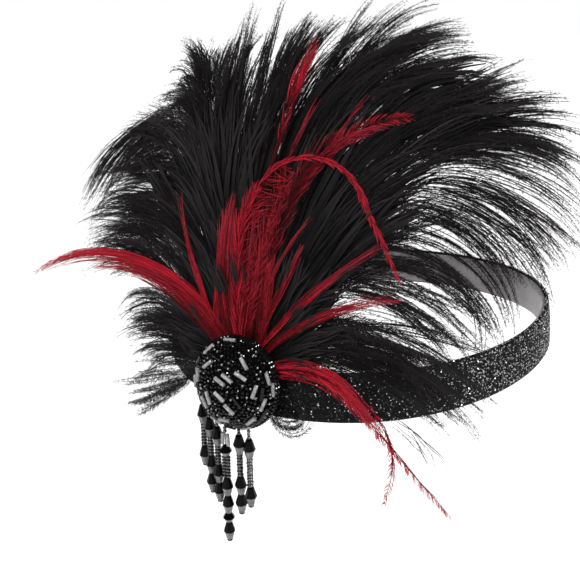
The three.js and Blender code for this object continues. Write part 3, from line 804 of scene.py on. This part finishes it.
# Bundles of long red barbs: the shaft that they follow, then barbs, half width in millimetres, darkest
# and lightest tone, and the share where the barbs begin. Bundles with low tones lie among and behind the
# others: their darkness is painted shade in the red mass.
BUNDLES = [
    (*LEFT_ARC, 100, 2.3, 0.55, 1.0, 0),
    (-26, -92, 0.75, 1.2, 0.58, 0.45, 30, 1.7, 0.3, 0.8, 0),
    (-31, -75, 0.8, 1, 0.58, 0.4, 34, 1.5, 0.3, 0.8, 0),
    (-40, -45, 0.9, 1, 0.42, 0.35, 30, 1.8, 0.05, 0.4, 0),
    (-45, -16, 1, 1, 0.38, 0.35, 24, 1.4, 0.1, 0.5, 0),
    (-36, 33, 1.4, 1, 0.47, 0.35, 20, 0.7, 0.35, 0.8, 0),
    (-25, 30, 0.9, 1, 0.37, 0.35, 12, 0.5, 0.5, 0.98, 0.45),
    (-24, 38, 0.8, 1, 0.44, 0.4, 40, 1.3, 0.2, 0.85, 0),
    (-17, 28, 0.9, 1, 0.40, 0.4, 40, 2.0, 0.0, 0.4, 0),
    (-50, 52, 1, 0.3, 0.42, 0.4, 34, 1.7, 0.2, 0.75, 0),
    (-35, 35, 1, 0.3, 0.40, 0.4, 44, 2.3, 0.0, 0.5, 0),
    (-9, 20, 1, 1, 0.42, 0.4, 40, 2.0, 0.0, 0.35, 0),
    (-2, 14, 1, 1, 0.40, 0.4, 40, 2.0, 0.0, 0.4, 0),
    (5, 8, 1, 1, 0.34, 0.4, 40, 1.7, 0.05, 0.5, 0),
    (18, -14, 1, 0.3, 0.40, 0.4, 32, 1.8, 0.0, 0.45, 0),
    (29, -25, 1, 0.3, 0.42, 0.4, 34, 1.7, 0.15, 0.7, 0),
    (*MIDDLE, 26, 0.8, 0.5, 0.95, 0.1),
    (*TALL, 14, 0.8, 0.0, 0.3, 0.5),
    (2, 25, 1.4, 1, 0.81, 0.55, 46, 1.9, 0.3, 0.95, 0.8),
    (4, 27, 1.4, 1, 0.70, 0.4, 14, 0.8, 0.0, 0.2, 0.5),
    (10, 32, 1.4, 1, 0.44, 0.4, 14, 0.5, 0.2, 0.7, 0.2),
    (11, 66, 2.8, 1, 0.74, 0.5, 40, 1.6, 0.05, 0.4, 0.5),
    (13, 30, 1.8, 1, 0.76, 0.5, 12, 0.5, 0.1, 0.5, 0.6),
    (21, 5, 1.2, 1, 0.36, 0.35, 26, 0.9, 0.2, 0.65, 0),
    (25, 27, 0.5, 1, 0.49, 0.5, 34, 1.0, 0.2, 0.85, 0),
    (30, 38, 0.6, 1, 0.40, 0.4, 22, 1.1, 0.05, 0.5, 0),
    (36, 40, 0.9, 1, 0.46, 0.4, 30, 0.9, 0.2, 0.8, 0),
    (63, 70, 1.55, 0.7, 0.395, 0.6, 90, 2.4, 0.55, 1.0, 0),
    (*LOWER_ARC, 7, 0.3, 0.2, 0.6, 0.5),
    (*BRANCH, 7, 0.3, 0.2, 0.6, 0.5),
]
# Barbs that stand off a shaft: the shaft, then the shares between which they stand, barb length in
# millimetres, barb angle, barbs, which side or 0 for both, and tone
VANES = [
    (*HOOK, 0.02, 0.45, 10, 22, 210, 0, 0.75),
    (*HOOK, 0.12, 0.55, 13, 62, 90, 1, 0.5),
    (*HOOK, 0.45, 0.98, 6, 13, 170, 0, 0.85),
    (*MIDDLE, 0.15, 1.0, 9, 38, 200, 0, 0.5),
    (-10, 28, 0.9, 1, 0.45, 0.45, 0.3, 1.0, 8, 42, 140, 0, 0.3),
    (11, 66, 2.8, 1, 0.78, 0.5, 0.35, 0.8, 12, 24, 110, 0, 0.3),
    (11, 74, 2.6, 1, 0.80, 0.5, 0.78, 1.0, 5.5, 38, 110, 0, 0.55),
    (*TALL, 0.7, 1.0, 9, 14, 30, 0, 0.45),
    (*LEFT_ARC, 0.6, 1.0, 7, 14, 70, 0, 0.95),
    (*LOWER_ARC, 0.02, 0.5, 10, 20, 130, 0, 0.85),
    (*LOWER_ARC, 0.5, 1.0, 4, 36, 120, 1, 0.9),
    (*BRANCH, 0.5, 1.0, 3, 42, 110, 0, 0.7),
]
# Shafts that show, and their tone
QUILLS = [(HOOK, 0.8), (MIDDLE, 0.8), (LOWER_ARC, 0.15), (BRANCH, 0.15)]


def shaft(row, at):
    """Across, up and heading of a red shaft at shares at."""
    start, curl, bend, settle, share = row[:5]
    fine = np.linspace(0, 1, 200)
    h = heading((start, curl, bend, settle), (fine[1:] + fine[:-1]) / 2)
    step = share * PLUME_LENGTH / 199
    first = math.radians(start)
    x = ROOT_RADIUS * math.sin(first) + np.concatenate([[0], np.cumsum(np.sin(h)) * step])
    z = ROOT_RADIUS * math.cos(first) + np.concatenate([[0], np.cumsum(np.cos(h)) * step])
    return np.interp(at, fine, x), np.interp(at, fine, z), heading((start, curl, bend, settle), at)


def shaft_out(rise, x, z):
    """How far a red shaft stands out from the band at a point of the fan."""
    return RED_OUT + rise * STRIP_RISE * beyond_seat(x, z) ** 1.5


def bundle(row):
    rise, count, half, dark, light, begin = row[5:]
    x, z, h = shaft(row, begin + (1 - begin) * SHARE[0])
    lean = rise * STRIP_RISE
    return tuft((x[None], z[None], h[None]), count, spread=half / 1.7, width=0.24, fuzz=0.8, gap=1.5,
                depth=(lean, lean + 0.01), lift=(0, 0.5), tone=((dark + light) / 2,) * 2,
                vary=(light - dark) / 2.4, samples=22, base=RED_OUT, stagger=0.3, flare=0.35,
                loose=0.5, tip=0.3)


def vane(row):
    rise, begin, end, barb, angle, count, side, tone = row[5:]
    u = np.sort(rng.uniform(begin, end, count))
    which = np.where(np.arange(count) % 2 == 0, -1.0, 1.0) if side == 0 else np.full(count, float(side))
    x0, z0, _ = shaft(row, u)
    long = barb * rng.uniform(0.6, 1.15, count) * np.clip((end + 0.12 - u) / 0.25, 0.3, 1)
    s = np.linspace(0, 1, 9)[None, :]
    t = np.minimum(u[:, None] + s * (long / (row[4] * PLUME_LENGTH))[:, None], 1.0)
    _, _, flow = shaft(row, t)
    # Barbs leave the shaft at an angle and swing back along it.
    leave = which[:, None] * (angle * rng.uniform(0.7, 1.3, count))[:, None] * (1 - 0.55 * s)
    h = flow + np.radians(leave + rng.normal(0, 4, (count, 1)) * s)
    x, z, _ = run_on(x0, z0, h, long)
    out = shaft_out(rise, x, z) + rng.uniform(-0.4, 1.2, (count, 1)) * s + 0.3
    widths = 0.2 * rng.uniform(0.7, 1.3, (count, 1)) * blade_profile(s, 0.7)
    fuzzes = np.full((count, 9), 0.8) * np.clip((1.1 - s) / 0.5, 0.3, 1)
    tones = np.clip(tone + rng.normal(0, 0.16, count), 0.01, 0.99)
    return comb(x, z, out, h, rng.normal(0, 0.5, count), widths, fuzzes, 1.2, tones, base=0.08, spread=35)


def quill(row, tone):
    """The shaft itself, as two crossed tapering ribbons."""
    at = np.linspace(0, 1, 26)
    x, z, h = shaft(row, at)
    out = shaft_out(row[5], x, z) + 0.4
    width = 0.6 * (1 - 0.8 * at[None])
    line = (x[None], z[None], out[None], h[None])
    return [comb(*line, np.array([roll]), width, 0 * width, 99, np.array([tone]))
            for roll in (0, math.pi / 2)]


red_parts = [bundle(row) for row in BUNDLES] + [vane(row) for row in VANES]
for row, tone in QUILLS:
    red_parts += quill(row, tone)
feather_piece("feather_red", red_parts, red_feather, "red_plume")
disc("plume_disc", DISC_RADIUS, DISC_THICKNESS, DISC_BACK, "red_plume")


def lathe_bead(profile, segments):
    """Points and quads of a bead turned round its own +Y, from (radius, height) pairs."""
    a = np.arange(segments) * 2 * np.pi / segments
    rings = [np.stack([r * np.cos(a), np.full(segments, y), r * np.sin(a)], 1) for r, y in profile]
    return np.concatenate(rings), ring_faces(len(profile), segments)[:, [0, 3, 2, 1]]


def placed(shape, centre, run, proud, scale=1.0):
    """A bead with its +Y along run and +Z along proud, at centre."""
    verts, faces = shape
    run = run / np.linalg.norm(run)
    proud = proud - proud @ run * run
    proud = proud / np.linalg.norm(proud)
    basis = np.stack([np.cross(run, proud), run, proud])
    return centre + (verts * scale) @ basis, faces


class Beads:
    """Beads gathered into one object."""

    def __init__(self):
        self.verts, self.faces, self.second, self.start = [], [], [], 0

    def add(self, shape, second=0):
        """second marks the faces that take the object's second material."""
        verts, faces = shape
        self.verts.append(verts)
        self.faces.append(faces + self.start)
        self.second.append(np.broadcast_to(second, len(faces)))
        self.start += len(verts)

    def make(self, name, mat, smooth, node, other=None):
        o = make(name, np.concatenate(self.verts), np.concatenate(self.faces), mat, smooth=smooth)
        if other:
            o.data.materials.append(other)
            o.data.polygons.foreach_set("material_index", np.concatenate(self.second).astype(np.int32))
        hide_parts(node)


def ring_profile(radius, length, hole=0.35, points=6):
    """A closed section of a round seed bead with a hole: it starts and ends on the hole's wall."""
    t = np.linspace(-np.pi / 2, np.pi / 2, points)
    pairs = [(hole, -0.35 * length)]
    pairs += [(hole + (radius - hole) * max(0.25, math.cos(v)), 0.5 * length * math.sin(v)) for v in t]
    return pairs + [(hole, 0.35 * length), (hole, -0.35 * length)]


def bugle_profile(radius, half, hole=0.35, bevel=0.1, cut=0.15):
    """A closed section of a tube bead with bevelled ends."""
    return [(hole, -half), (radius - bevel, -half), (radius, cut - half), (radius, half - cut),
            (radius - bevel, half), (hole, half), (hole, -half)]


SEED = lathe_bead(ring_profile(SEED_RADIUS, SEED_LENGTH), 9)
BUGLE = lathe_bead(bugle_profile(BUGLE_RADIUS, BUGLE_HALF), 12)

# Bugle beads on the dome, in degrees: clock place, arc down from the dome's top, turn of the bead from
# straight up, and 1 for light grey glass, a painted highlight, or 0 for black
BUGLES = [
    (-7, 80, 74, 1),
    (-42, 39, 49, 1),
    (-80, 48, 154, 1),
    (35, 53, 141, 1),
    (49, 38, 111, 1),
    (2, 12, 112, 1),
    (30, 21, 115, 1),
    (68, 78, 156, 1),
    (84, 86, 168, 1),
    (82, 51, 20, 1),
    (86, 63, 10, 0),
    (175, 8, 122, 1),
    (-129, 24, 162, 1),
    (-131, 40, 154, 1),
    (102, 67, 27, 1),
    (115, 76, 41, 0),
    (148, 27, 135, 1),
    (177, 46, 81, 1),
    (134, 63, 46, 1),
    (-161, 66, 108, 1),
    (52, 74, 133, 0),
    (-16, 44, 107, 0),
    (110, 28, 138, 0),
    (23, 70, 117, 0),
    (-38, 66, 20, 1),
    (-66, 72, 60, 0),
    (-96, 64, 10, 1),
    (-118, 76, 120, 1),
    (-140, 62, 40, 0),
    (-160, 84, 95, 1),
    (155, 80, 65, 1),
    (178, 72, 80, 0),
]


def on_dome(clock, arc, proud_by):
    """Point and outward direction on the dome, raised by a distance."""
    radius = BEADED * DOME_RADIUS
    reach = radius * np.sin(arc)
    point = seat_point(reach * np.sin(clock), reach * np.cos(clock), DOME_BACK + DOME_HEIGHT * np.cos(arc))
    slope = np.array([np.sin(arc) / radius, np.cos(arc) / DOME_HEIGHT])
    slope /= np.linalg.norm(slope)
    proud = ACROSS * slope[0] * np.sin(clock) + UP * slope[0] * np.cos(clock) + OUT * slope[1]
    return point + proud * proud_by, proud


# Dome and rim under the beads, from (radius, out) pairs
profile = [(0, RIM_BACK), (RIM_RADIUS - 0.4, RIM_BACK), (RIM_RADIUS, RIM_BACK + 0.4),
           (RIM_RADIUS, DOME_BACK - 0.6), (RIM_RADIUS - 0.6, DOME_BACK)]
profile += [(DOME_RADIUS * math.cos(a), DOME_BACK + DOME_HEIGHT * math.sin(a))
            for a in np.linspace(0, 1.5, 12)]
profile.append((0.01, DOME_BACK + DOME_HEIGHT))
DOME_SEGMENTS = 72
dome = make("brooch_base", seat_rings([(BEADED * r, d) for r, d in profile], DOME_SEGMENTS),
            ring_faces(len(profile), DOME_SEGMENTS), brooch_cloth, smooth=True)
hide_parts("brooch")

painted_highlight_bugles, dark_bugles, seeds, painted_highlight_seeds = Beads(), Beads(), Beads(), Beads()
bugle_spots = []
for clock, arc, turn, painted_highlit in BUGLES:
    clock, arc, turn = map(math.radians, (clock, arc, turn))
    centre, proud = on_dome(clock, arc, 0.8)
    run = ACROSS * math.sin(turn) + UP * math.cos(turn)
    run = run - run @ proud * proud
    run /= np.linalg.norm(run)
    # Bugles marked 1 are light grey: painted highlights on black glass.
    (painted_highlight_bugles if painted_highlit else dark_bugles).add(placed(BUGLE, centre, run, proud))
    bugle_spots.append((centre, run))


def near_bugle(p, gap):
    for centre, run in bugle_spots:
        offset = p - centre
        share = np.clip(offset @ run, -BUGLE_HALF, BUGLE_HALF)
        if np.linalg.norm(offset - run * share) < gap:
            return True
    return False


# Seed beads in rows round the dome wherever no bugle lies; on some sits a small light grey bead, a
# painted highlight standing for the glint on a black seed
SEED_ROWS = 13
SEED_SPACING = 1.75
PAINTED_HIGHLIGHT_SHARE = 0.14
for row in range(SEED_ROWS):
    arc = math.radians(3 + 88 * (row + 0.5) / SEED_ROWS)
    around = max(1, int(round(2 * math.pi * DOME_RADIUS * math.sin(arc) / SEED_SPACING)))
    for j in range(around):
        clock = 2 * math.pi * (j + 0.5 * (row % 2) + rng.uniform(-0.15, 0.15)) / around
        p, proud = on_dome(clock, arc + rng.uniform(-0.02, 0.02), 0.35)
        if near_bugle(p, 1.15):
            continue
        run = np.cross(proud, rng.normal(0, 1, 3))
        seeds.add(placed(SEED, p, run, proud, rng.uniform(0.85, 1.05)))
        if rng.random() < PAINTED_HIGHLIGHT_SHARE:
            painted_highlight_seeds.add(placed(SEED, p + proud * 0.62 + run * 0.3, run, proud, 0.5))
# Two rows of seed beads round the rim's outside
around = int(2 * math.pi * (BEADED * RIM_RADIUS - 0.3) / 1.65)
for j in range(around):
    clock = 2 * math.pi * j / around
    proud = ACROSS * math.sin(clock) + UP * math.cos(clock)
    for level in (0.85, 2.3):
        p = seat_point(0, 0, RIM_BACK + level) + proud * (BEADED * RIM_RADIUS - 0.45)
        seeds.add(placed(SEED, p, np.cross(proud, OUT), proud, 0.92))
painted_highlight_bugles.make("brooch_bugles", glass["bead_painted_highlight"], False, "brooch")
dark_bugles.make("brooch_dark_bugles", glass["bead_black"], False, "brooch")
seeds.make("brooch_seeds", glass["bead_black"], False, "brooch")
painted_highlight_seeds.make("brooch_painted_highlight_seeds", glass["bead_painted_highlight"], True, "brooch")

# The tassel's strands: across and out of the top as shares of the rim's radius and thickness, a share of
# the thread's length, what leads, seed beads, and the last drops, long or short
STRANDS = [
    (-0.87, 0.7, 1.5, "drop", 7, "L"),
    (-0.64, 1.03, 1, "drop", 6, "LL"),
    (-0.42, 1.2, 1, "drop", 6, "LL"),
    (-0.18, 1.43, 0.75, "bugles", 7, "LLSL"),
    (0.14, 1.17, 0.4, "drop", 7, "LL"),
    (0.38, 1.17, 1.3, "drop", 9, "L"),
]
THREAD_LENGTH = 2.0  # above a usual strand's first bead
PAIR_LENGTH = 5.8  # of the two bugles side by side
HANG_RADIUS = RIM_RADIUS + CLEARANCE + 0.4
# A cut drop, as shares of its radius and length: it widens to a narrow girdle, then narrows.
DROP_PROFILE = [(0.25, 0.0), (0.48, 0.0), (0.53, 0.04), (1.0, 0.53), (0.84, 0.59), (0.56, 0.96), (0.48, 1.0),
                (0.25, 1.0)]
DROP_SIDES = 8
# The drops' faces below the girdle are grey: painted reflection of the pale floor in their black glass.
PAINTED_REFLECTION_FACES = np.repeat(np.arange(len(DROP_PROFILE) - 1) > 2, DROP_SIDES)
STRAND_SEED = lathe_bead(ring_profile(1.4, 1.42), 12)


def strand(number, across, out, thread, lead, seed_count, drops):
    """One strand of the tassel, built from its top down."""
    x = across * RIM_RADIUS
    top = seat_point(x, -math.sqrt(HANG_RADIUS ** 2 - x ** 2), RIM_BACK + out * RIM_THICKNESS)
    forward = np.array([math.cos(number), math.sin(number), 0])
    facets, smalls, painted_highlit = Beads(), Beads(), Beads()

    def hang(beads, shape, depth, aside=0.0, lean=0.0, scale=1.0, second=0):
        """Adds a bead at a depth below the top, a little to the side."""
        centre = top + DOWN * depth + ACROSS * aside
        beads.add(placed(shape, centre, DOWN + ACROSS * lean, forward, scale), second)

    def drop(depth, length):
        shape = lathe_bead([(r * DROP_RADIUS, y * length) for r, y in DROP_PROFILE], DROP_SIDES)
        hang(facets, shape, depth, second=PAINTED_REFLECTION_FACES)
        return depth + length

    depth = thread * THREAD_LENGTH
    for j in range(max(2, int((depth + THREAD_LENGTH) / SEED_PITCH))):
        hang(smalls, SEED, depth - (j + 0.5) * SEED_PITCH, scale=0.95)
    if lead == "bugles":
        # The two bugles are light grey glass: painted highlights on black glass.
        for sign in (-1, 1):
            hang(painted_highlit, BUGLE, depth + PAIR_LENGTH / 2, 1.3 * sign, 0.08 * sign)
        depth = drop(depth + PAIR_LENGTH, SHORT_DROP)
    else:
        depth = drop(depth, DROP_LENGTH)
    for j in range(seed_count):
        at = depth + (j + 0.5) * SEED_PITCH
        wobble = rng.uniform(-0.12, 0.12)
        if lead == "bugles":
            hang(smalls, STRAND_SEED, at, wobble + 0.95, scale=0.8)
            hang(smalls, STRAND_SEED, at + 0.4, wobble - 0.95, scale=0.8)
        else:
            hang(smalls, STRAND_SEED, at, wobble)
    depth += seed_count * SEED_PITCH
    for kind in drops:
        depth = drop(depth, DROP_LENGTH if kind == "L" else SHORT_DROP)
    hang(smalls, STRAND_SEED, depth + 0.5, scale=0.9)
    hang(smalls, lathe_bead([(0.22, 0), (0.22, depth + THREAD_LENGTH + 0.6)], 8), -THREAD_LENGTH)

    node = f"tassel_strand_{number}"
    # Faces below the girdle take the grey glass: painted reflection.
    facets.make(node + "_drops", glass["bead_cut"], False, node, other=glass["bead_painted_reflection"])
    smalls.make(node + "_seeds", glass["bead_shine"], True, node)
    if painted_highlit.verts:
        painted_highlit.make(node + "_bugles", glass["bead_painted_highlight"], False, node)


for number, row in enumerate(STRANDS, 1):
    strand(number, *row)

# Short barbs that close the last gaps next to the brooch
black_piece("feather_root", [roots((4, 10), 30)])

# The floor's half width and its depth below the band, in metres
FLOOR_HALF = 40
FLOOR_DROP = 0.25
floor_mesh = bpy.data.meshes.new("floor")
corners = [(x * FLOOR_HALF, y * FLOOR_HALF, -FLOOR_DROP) for x, y in ((-1, -1), (1, -1), (1, 1), (-1, 1))]
floor_mesh.from_pydata(corners, [], [(0, 1, 2, 3)])
floor_mesh.materials.append(textured(
    "floor", {"Scale": 3.0, "Detail": 2.0},
    [(0.3, (0.9, 0.9, 0.9)), (0.7, (0.93, 0.93, 0.93))],
    {"Roughness": 0.9, "Specular IOR Level": 0.0}, object_space=False))
floor = in_scene("floor", floor_mesh)

# The backdrop is white, and it lights the object less than it shows. The beads mirror less still.
world = bpy.data.worlds.new("world")
world.use_nodes = True
world_tree = world.node_tree
backdrop, lighting, mirrored = [
    add(world_tree, "Background", {0: (1, 1, 1, 1), 1: strength}).outputs[0]
    for strength in (1.0, 0.2, 0.06)]
ray = add(world_tree, "LightPath")
unseen = add(world_tree, "MixShader", {0: ray.outputs["Is Glossy Ray"], 1: lighting, 2: mirrored})
seen = add(world_tree, "MixShader",
           {0: ray.outputs["Is Camera Ray"], 1: unseen.outputs[0], 2: backdrop})
world_tree.links.new(seen.outputs[0], world_tree.nodes["World Output"].inputs[0])
scene.world = world
scene.view_settings.view_transform = "Standard"

OBJECT_MIDDLE = (0.03, -0.05, 0.04)


def lamp(name, kind, place, size, power):
    """A lamp that faces the object. size is a sun's angle, or a round lamp's diameter in metres."""
    light = bpy.data.lights.new(name, kind)
    light.energy = power
    if kind == "SUN":
        light.angle = size
    else:
        light.shape = "DISK"
        light.size = size
    o = in_scene(name, light)
    o.location = place
    o.rotation_mode = "QUATERNION"
    o.rotation_quaternion = (Vector(OBJECT_MIDDLE) - Vector(place)).to_track_quat("-Z", "Y")
    return o


# The wide light from above isn't mirrored in the beads; the catch light is only mirrored.
overhead = lamp("overhead", "SUN", (0.1, -0.25, 1.0), math.radians(50), 3.6)
overhead.visible_glossy = False
lamp("key", "AREA", (0.55, -0.75, 0.75), 0.3, 7)
catch = lamp("catch", "AREA", (0.85, 0.45, 0.75), 0.3, 20)
catch.visible_diffuse = False
